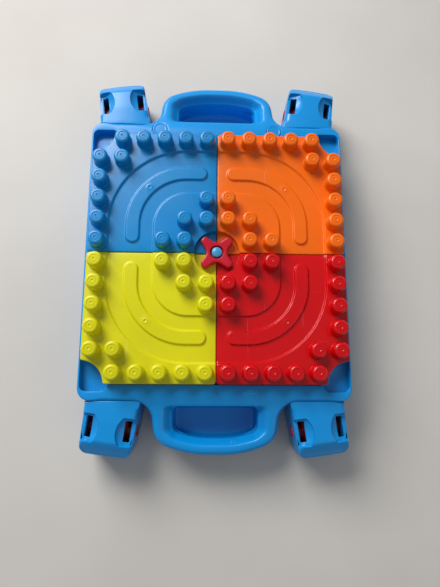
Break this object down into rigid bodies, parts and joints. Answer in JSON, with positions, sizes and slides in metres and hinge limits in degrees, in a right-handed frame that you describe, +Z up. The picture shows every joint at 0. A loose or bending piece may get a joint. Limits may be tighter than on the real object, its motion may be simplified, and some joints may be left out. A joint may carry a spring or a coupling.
{
  "type": "folding building block play table",
  "caption": "Children's play table folded flat: stud-topped tiles in four colours, a turning cross knob, carrying handles and folding legs.",
  "frame": {"origin": "centre of the footprint of the folded table, on the floor", "axes": "+Z up, +Y along the length from handle to handle towards the rim that has two plugs, +X across the width"},
  "size_m": [0.391, 0.5872, 0.11],
  "materials": {
    "body_blue": "moulded polypropylene, soft gloss",
    "tile_blue": "moulded plastic, soft gloss",
    "tile_orange": "moulded plastic, soft gloss",
    "tile_yellow": "moulded plastic, soft gloss",
    "tile_red": "moulded plastic, soft gloss",
    "knob_crimson": "moulded plastic, gloss",
    "cap_blue": "moulded plastic, gloss",
    "leg_red": "moulded plastic, satin",
    "pin_red": "moulded plastic, satin",
    "pad_rubber": "matt rubber",
    "steel": "zinc plated"
  },
  "bodies": {
    "table": {"top_shell": "body_blue", "storage_tray": "body_blue", "bottom_shell": "body_blue", "knuckle_nw": "body_blue", "knuckle_ne": "body_blue", "knuckle_sw": "body_blue", "knuckle_se": "body_blue", "knob_washer": "steel", "knob_screw": "steel", "rim_plugs": "body_blue", "shell_screws": "steel", "knuckle_screws": "steel", "floor_pads": "pad_rubber"},
    "knob": {"knob": "knob_crimson", "knob_cap": "cap_blue"},
    "tile_nw": {"tile_nw": "tile_blue"},
    "leg_nw": {"leg_nw": "leg_red", "leg_cover_nw": "leg_red", "leg_pin_nw": "pin_red", "foot_pad_nw": "pad_rubber"},
    "tile_ne": {"tile_ne": "tile_orange"},
    "leg_ne": {"leg_ne": "leg_red", "leg_cover_ne": "leg_red", "leg_pin_ne": "pin_red", "foot_pad_ne": "pad_rubber"},
    "tile_sw": {"tile_sw": "tile_yellow"},
    "leg_sw": {"leg_sw": "leg_red", "leg_cover_sw": "leg_red", "leg_pin_sw": "pin_red", "foot_pad_sw": "pad_rubber"},
    "tile_se": {"tile_se": "tile_red"},
    "leg_se": {"leg_se": "leg_red", "leg_cover_se": "leg_red", "leg_pin_se": "pin_red", "foot_pad_se": "pad_rubber"}
  },
  "joints": [
    {"name": "knob_turn", "type": "hinge", "parent": "table", "child": "knob", "pos_m": [0, 0, 0.088], "axis": [0, 0, 1], "continuous": true},
    {"name": "tile_nw_tilt", "type": "hinge", "parent": "table", "child": "tile_nw", "pos_m": [-0.02334, 0.02334, 0.09], "axis": [-0.7071, -0.7071, 0], "range_deg": [-20, 0]},
    {"name": "leg_nw_fold", "type": "hinge", "parent": "table", "child": "leg_nw", "pos_m": [-0.151, 0.252, 0.037], "axis": [0.9903, 0.1392, 0], "range_deg": [0, 90]},
    {"name": "tile_ne_tilt", "type": "hinge", "parent": "table", "child": "tile_ne", "pos_m": [0.02334, 0.02334, 0.09], "axis": [0.7071, -0.7071, 0], "range_deg": [0, 20]},
    {"name": "leg_ne_fold", "type": "hinge", "parent": "table", "child": "leg_ne", "pos_m": [0.151, 0.252, 0.037], "axis": [0.9903, -0.1392, 0], "range_deg": [0, 90]},
    {"name": "tile_sw_tilt", "type": "hinge", "parent": "table", "child": "tile_sw", "pos_m": [-0.02334, -0.02334, 0.09], "axis": [-0.7071, 0.7071, 0], "range_deg": [0, 20]},
    {"name": "leg_sw_fold", "type": "hinge", "parent": "table", "child": "leg_sw", "pos_m": [-0.151, -0.252, 0.037], "axis": [-0.9903, 0.1392, 0], "range_deg": [0, 90]},
    {"name": "tile_se_tilt", "type": "hinge", "parent": "table", "child": "tile_se", "pos_m": [0.02334, -0.02334, 0.09], "axis": [0.7071, 0.7071, 0], "range_deg": [-20, 0]},
    {"name": "leg_se_fold", "type": "hinge", "parent": "table", "child": "leg_se", "pos_m": [0.151, -0.252, 0.037], "axis": [-0.9903, -0.1392, 0], "range_deg": [0, 90]}
  ]
}
